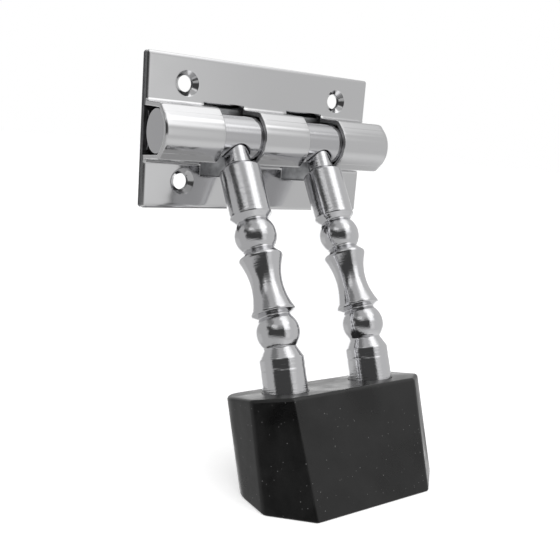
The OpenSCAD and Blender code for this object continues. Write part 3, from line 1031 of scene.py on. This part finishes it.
# %% The room as a world
world = bpy.data.worlds.new("pale grey room")
bpy.context.scene.world = world
world.use_nodes = True
tree = world.node_tree
tree.nodes.clear()
way = add(tree, "ShaderNodeTexCoord").outputs["Generated"]
part = add(tree, "ShaderNodeSeparateXYZ", {0: way}).outputs
minus_y = add(tree, "ShaderNodeMath", {0: part["Y"], 1: -1.0}, operation="MULTIPLY")
azimuth = add(tree, "ShaderNodeMath", {0: part["X"], 1: minus_y.outputs[0]}, operation="ARCTAN2").outputs[0]
elevation = add(tree, "ShaderNodeMath", {0: part["Z"]}, operation="ARCSINE").outputs[0]


def window(level, turn, turn_half, lift, lift_half, soft, strength):
    """The room's brightness with one soft-edged window in it. Azimuth 0 is straight in front
    and 90 is to the right. Each edge fades over twice its softness, in degrees, and the
    window mixes the level towards its own strength."""
    shares = []
    for angle, centre, half in ((azimuth, turn, turn_half), (elevation, lift, lift_half)):
        off = add(tree, "ShaderNodeMath", {0: angle, 1: math.radians(centre)}, operation="SUBTRACT")
        off = add(tree, "ShaderNodeMath", {0: off.outputs[0], 1: math.pi, 2: -math.pi}, operation="WRAP")
        off = add(tree, "ShaderNodeMath", {0: off.outputs[0]}, operation="ABSOLUTE")
        low, high = math.radians(half - soft), math.radians(half + soft)
        fade = {"Value": off.outputs[0], "From Min": low, "From Max": high, "To Min": 1.0, "To Max": 0.0}
        shares.append(add(tree, "ShaderNodeMapRange", fade, interpolation_type="SMOOTHSTEP").outputs[0])
    share = add(tree, "ShaderNodeMath", {0: shares[0], 1: shares[1]}, operation="MULTIPLY")
    mixed = {"Factor": share.outputs[0], "A": level, "B": strength}
    return add(tree, "ShaderNodeMix", mixed, data_type="FLOAT").outputs[0]


# Each row: azimuth and half its width, elevation and half its height, softness, brightness
windows = (
    # the right side of the room: a wall, a paler band low on it, and the darker floor
    (55, 75, 0, 100, 25, 0.62),
    (45, 45, -34, 10, 8, 0.76),
    (75, 50, -68, 16, 5, 0.34),
    # a pale panel in front
    (19, 9, 3, 12, 6, 0.78),
    # the dark left of the room
    (-110, 30, 52, 12, 6, 0.22),
    (-92, 13, 27, 8, 4, 0.06),
    # white walls behind the piece
    (-150, 26, -25, 13, 5, 0.6),
    (127, 24, -25, 10, 5, 1.3),
    (160, 28, -14, 34, 6, 1.35),
    # lamps: a strip at the left, a large one overhead and two high in front
    (-62, 18, 42, 5, 3, 0.95),
    (75, 55, 72, 18, 12, 1.35),
    (20, 20, 46, 20, 9, 1.35),
    (38, 22, 57, 13, 6, 1.6),
    # the camera, its stand and the hood above it
    (-15, 18, 36, 12, 6, 0.25),
    (-40, 44, 13, 21, 6, 0.06),
)
level = add(tree, "ShaderNodeValue").outputs[0]
level.default_value = 0.50
for row in windows:
    level = window(level, *row)
ray = add(tree, "ShaderNodeLightPath")
room = add(tree, "ShaderNodeBackground", {"Color": (1, 1, 1, 1), "Strength": level})
paper_white = add(tree, "ShaderNodeBackground", {"Color": (1, 1, 1, 1), "Strength": 1.0})
seen = {0: ray.outputs["Is Camera Ray"], 1: room.outputs[0], 2: paper_white.outputs[0]}
both = add(tree, "ShaderNodeMixShader", seen)
add(tree, "ShaderNodeOutputWorld", {"Surface": both.outputs[0]})
print(f"room: {len(tree.nodes)} nodes")


# %% Lights and camera
def soft_light(name, place, aim, width, height, power):
    """A rectangular light at a place, facing a point, both in millimetres."""
    data = bpy.data.lights.new(name, "AREA")
    data.shape, data.size, data.size_y, data.energy = "RECTANGLE", width * MM, height * MM, power
    lamp = bpy.data.objects.new(name, data)
    bpy.context.scene.collection.objects.link(lamp)
    place, aim = np.array(place, float) * MM, np.array(aim, float) * MM
    back = (place - aim) / np.linalg.norm(place - aim)
    right = np.cross([0, 0, 1], back)
    right /= np.linalg.norm(right)
    turn = np.stack([right, np.cross(back, right), back], 1)
    lamp.matrix_world = Matrix.Translation(place) @ Matrix(turn.tolist()).to_4x4()
    lamp.visible_camera = False
    return lamp


above = soft_light("soft_box_above", (-200, -300, 700), (0, -40, -40), width=700, height=700, power=2)
above.visible_glossy = False

yaw, pitch, roll = math.radians(35.10), math.radians(11.03), math.radians(4.58)
ahead = np.array([math.sin(yaw) * math.cos(pitch), math.cos(yaw) * math.cos(pitch), -math.sin(pitch)])
right = np.array([math.cos(yaw), -math.sin(yaw), 0])
upward = np.cross(right, ahead)
tipped_right = math.cos(roll) * right + math.sin(roll) * upward
tipped_up = math.cos(roll) * upward - math.sin(roll) * right
eye = bpy.data.cameras.new("studio_camera")
eye.sensor_width, eye.lens = 36, 45.97
eye.clip_start, eye.clip_end = 0.01, 50
camera = bpy.data.objects.new("studio_camera", eye)
bpy.context.scene.collection.objects.link(camera)
turn = Matrix(np.stack([tipped_right, tipped_up, -ahead], 1).tolist()).to_4x4()
camera.matrix_world = Matrix.Translation(np.array([-141.0, -221.1, 0.2]) * MM) @ turn
bpy.context.scene.camera = camera
bpy.context.scene.view_settings.view_transform = "Standard"
print(f"camera: {eye.lens} mm lens")
